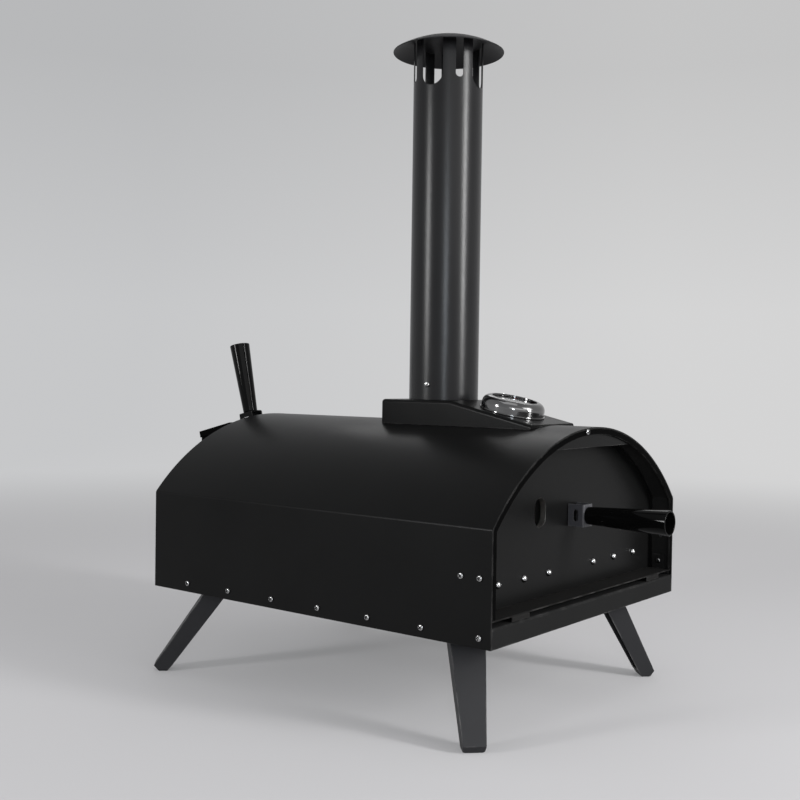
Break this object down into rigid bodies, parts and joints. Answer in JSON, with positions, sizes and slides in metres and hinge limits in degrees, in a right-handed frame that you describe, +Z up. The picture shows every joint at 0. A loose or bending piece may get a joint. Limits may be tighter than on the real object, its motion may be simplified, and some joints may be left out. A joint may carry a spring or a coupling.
{
  "type": "pizza oven",
  "caption": "Portable pellet pizza oven with an arched sheet hood, a lift-off front door, a tall capped chimney, a lidded fuel hopper at the back and folding splayed legs.",
  "frame": {"origin": "on the floor, midway between the two sides and midway between the foremost and rearmost points", "axes": "+X to the right of a viewer who faces the door, +Y from the door to the hopper, +Z up"},
  "size_m": [0.4044, 0.658, 0.7676],
  "materials": {
    "black_coat": "matte black powder coat",
    "pan_coat": "satin dark grey powder coat",
    "pipe_coat": "fine textured charcoal coat",
    "leg_coat": "matte dark slate coat",
    "bracket_coat": "matte grey coat",
    "gloss_black": "gloss black enamel",
    "bare_steel": "heat-tinted sheet steel",
    "zinc": "bright zinc plate",
    "polished_steel": "polished stainless",
    "dial_white": "printed dial",
    "hand_red": "red lacquer",
    "clear_glass": "clear",
    "baking_stone": "unglazed cordierite",
    "ceramic_fibre": "soft white fibre"
  },
  "bodies": {
    "oven": {"baking_stone": "baking_stone", "base_pan": "pan_coat", "chimney_cap": "pipe_coat", "chimney_pipe": "pipe_coat", "chimney_screw": "zinc", "feed_chute": "bare_steel", "floor_screw_left": "zinc", "floor_screw_right": "zinc", "flue_throat": "bare_steel", "front_frame": "black_coat", "front_rim": "black_coat", "gauge_case": "polished_steel", "gauge_dial": "dial_white", "gauge_lens": "clear_glass", "gauge_nut": "zinc", "gauge_stem": "polished_steel", "hopper": "black_coat", "inner_liner": "bare_steel", "insulation_blanket": "ceramic_fibre", "leg_bracket_front_left": "zinc", "leg_bracket_front_right": "zinc", "leg_bracket_rear_left": "zinc", "leg_bracket_rear_right": "zinc", "leg_pin_front_left": "zinc", "leg_pin_front_right": "zinc", "leg_pin_rear_left": "zinc", "leg_pin_rear_right": "zinc", "lintel": "black_coat", "outer_shell": "black_coat", "oven_floor": "black_coat", "pipe_collar": "pipe_coat", "rear_panel": "black_coat", "rim_screw": "zinc", "smoke_box": "black_coat"},
    "door": {"door_panel": "black_coat", "door_liner": "bare_steel", "door_bracket": "bracket_coat", "door_handle": "gloss_black", "door_handle_screw": "zinc", "door_bolt_1": "zinc", "door_bolt_2": "zinc", "door_bolt_3": "zinc", "door_bolt_4": "zinc", "door_bolt_5": "zinc", "door_bolt_6": "zinc"},
    "hopper_lid": {"hopper_lid": "black_coat", "lid_bracket": "bracket_coat", "lid_handle": "gloss_black", "lid_handle_screw": "zinc"},
    "fuel_tray": {"fuel_tray": "bare_steel", "fuel_grate": "bare_steel", "tray_cover": "black_coat", "tray_pull": "zinc"},
    "gauge_hand": {"gauge_hand": "hand_red"},
    "leg_front_left": {"leg_front_left": "leg_coat"},
    "leg_front_right": {"leg_front_right": "leg_coat"},
    "leg_rear_left": {"leg_rear_left": "leg_coat"},
    "leg_rear_right": {"leg_rear_right": "leg_coat"}
  },
  "joints": [
    {"name": "door_lift_off", "type": "slide", "parent": "oven", "child": "door", "axis": [0, -1, 0], "range_m": [0, 0.12]},
    {"name": "lid_lift_off", "type": "slide", "parent": "oven", "child": "hopper_lid", "axis": [0, 0.2419, 0.9703], "range_m": [0, 0.06]},
    {"name": "tray_slide", "type": "slide", "parent": "oven", "child": "fuel_tray", "axis": [0, 1, 0], "range_m": [0, 0.1]},
    {"name": "gauge_hand_turn", "type": "hinge", "parent": "oven", "child": "gauge_hand", "pos_m": [0, -0.13363, 0.32525], "axis": [0, 0.2133, -0.977], "range_deg": [0, 270]},
    {"name": "leg_fold_front_left", "type": "hinge", "parent": "oven", "child": "leg_front_left", "pos_m": [-0.14376, -0.17139, 0.1133], "axis": [0.7071, -0.7071, 0], "range_deg": [0, 117.5]},
    {"name": "leg_fold_front_right", "type": "hinge", "parent": "oven", "child": "leg_front_right", "pos_m": [0.14376, -0.17139, 0.1133], "axis": [0.7071, 0.7071, 0], "range_deg": [0, 117.5]},
    {"name": "leg_fold_rear_left", "type": "hinge", "parent": "oven", "child": "leg_rear_left", "pos_m": [-0.12951, 0.19229, 0.1133], "axis": [-0.7071, -0.7071, 0], "range_deg": [0, 125.3]},
    {"name": "leg_fold_rear_right", "type": "hinge", "parent": "oven", "child": "leg_rear_right", "pos_m": [0.12951, 0.19229, 0.1133], "axis": [-0.7071, 0.7071, 0], "range_deg": [0, 125.3]}
  ]
}
